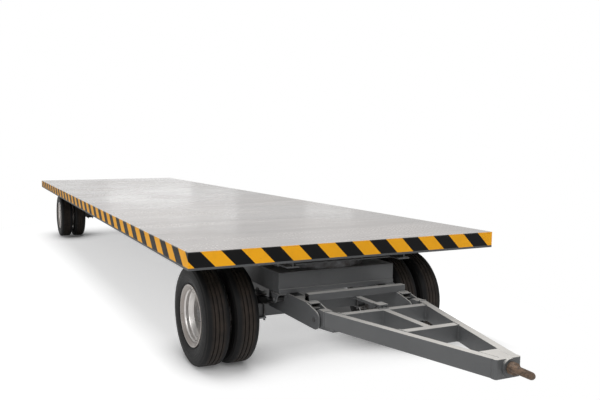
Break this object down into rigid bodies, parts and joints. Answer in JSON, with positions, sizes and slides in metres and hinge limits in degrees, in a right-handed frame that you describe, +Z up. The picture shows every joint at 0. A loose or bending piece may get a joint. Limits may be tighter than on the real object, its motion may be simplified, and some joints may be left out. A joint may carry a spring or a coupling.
{
  "type": "flatbed drawbar trailer",
  "caption": "Flatbed platform trailer with a steered front bogie, A-frame drawbar with a towing eye, twin tyres at the corners and a hazard-striped deck edge.",
  "frame": {"origin": "on the ground under the middle of the whole length, drawbar included", "axes": "+X forward toward the drawbar, +Y to the left side, +Z up"},
  "size_m": [9.7, 2.5, 0.975],
  "materials": {
    "deck_sheet": "pale grey steel sheet, worn",
    "edge_paint": "yellow with black slanted bands",
    "frame_paint": "grey paint, satin",
    "bare_steel": "dull grey metal",
    "spring_black": "black paint, satin",
    "rim_silver": "silver paint, gloss",
    "tyre_rubber": "black rubber",
    "rusty_eye": "bare forged steel with brown rust"
  },
  "bodies": {
    "chassis": {"deck_plates": "deck_sheet", "side_rails": "edge_paint", "end_rails": "edge_paint", "main_beams": "frame_paint", "cross_members": "frame_paint", "outriggers": "frame_paint", "turntable_mount": "frame_paint", "slew_ring_upper": "bare_steel", "rear_hangers": "frame_paint", "rear_springs": "spring_black", "rear_axle_beam": "frame_paint", "rear_clamps": "bare_steel"},
    "bogie": {"slew_ring_lower": "bare_steel", "kingpin": "bare_steel", "bogie_end_beams": "frame_paint", "bogie_side_beams": "frame_paint", "bogie_top_plate": "frame_paint", "drawbar_ears": "frame_paint", "cross_tube": "frame_paint", "stub_tubes": "frame_paint", "rest_bar": "frame_paint", "hinge_pins": "bare_steel", "front_hangers": "frame_paint", "front_springs": "spring_black", "front_axle_beam": "frame_paint", "front_clamps": "bare_steel"},
    "drawbar": {"drawbar_sides": "frame_paint", "drawbar_bars": "frame_paint", "drawbar_head": "frame_paint", "hinge_lugs": "frame_paint", "rest_bracket": "frame_paint"},
    "eye": {"tow_eye": "rusty_eye"},
    "front_left_wheels": {"hub_fl": "bare_steel", "rim_outer_fl": "rim_silver", "rim_inner_fl": "rim_silver", "tyres_fl": "tyre_rubber"},
    "front_right_wheels": {"hub_fr": "bare_steel", "rim_outer_fr": "rim_silver", "rim_inner_fr": "rim_silver", "tyres_fr": "tyre_rubber"},
    "rear_left_wheels": {"hub_rl": "bare_steel", "rim_outer_rl": "rim_silver", "rim_inner_rl": "rim_silver", "tyres_rl": "tyre_rubber"},
    "rear_right_wheels": {"hub_rr": "bare_steel", "rim_outer_rr": "rim_silver", "rim_inner_rr": "rim_silver", "tyres_rr": "tyre_rubber"}
  },
  "joints": [
    {"name": "steer", "type": "hinge", "parent": "chassis", "child": "bogie", "pos_m": [2.733, 0, 0.768], "axis": [0, 0, 1], "range_deg": [-90, 90]},
    {"name": "drawbar_lift", "type": "hinge", "parent": "bogie", "child": "drawbar", "pos_m": [3.523, 0, 0.497], "axis": [0, -1, 0], "range_deg": [0, 20]},
    {"name": "front_left_wheel_spin", "type": "hinge", "parent": "bogie", "child": "front_left_wheels", "pos_m": [2.733, 0.812, 0.377], "axis": [0, 1, 0], "continuous": true},
    {"name": "front_right_wheel_spin", "type": "hinge", "parent": "bogie", "child": "front_right_wheels", "pos_m": [2.733, -0.812, 0.377], "axis": [0, 1, 0], "continuous": true},
    {"name": "rear_left_wheel_spin", "type": "hinge", "parent": "chassis", "child": "rear_left_wheels", "pos_m": [-4.31, 0.812, 0.377], "axis": [0, 1, 0], "continuous": true},
    {"name": "rear_right_wheel_spin", "type": "hinge", "parent": "chassis", "child": "rear_right_wheels", "pos_m": [-4.31, -0.812, 0.377], "axis": [0, 1, 0], "continuous": true},
    {"name": "eye_swivel", "type": "hinge", "parent": "drawbar", "child": "eye", "pos_m": [4.787, 0, 0.529], "axis": [1, 0, 0], "continuous": true}
  ]
}
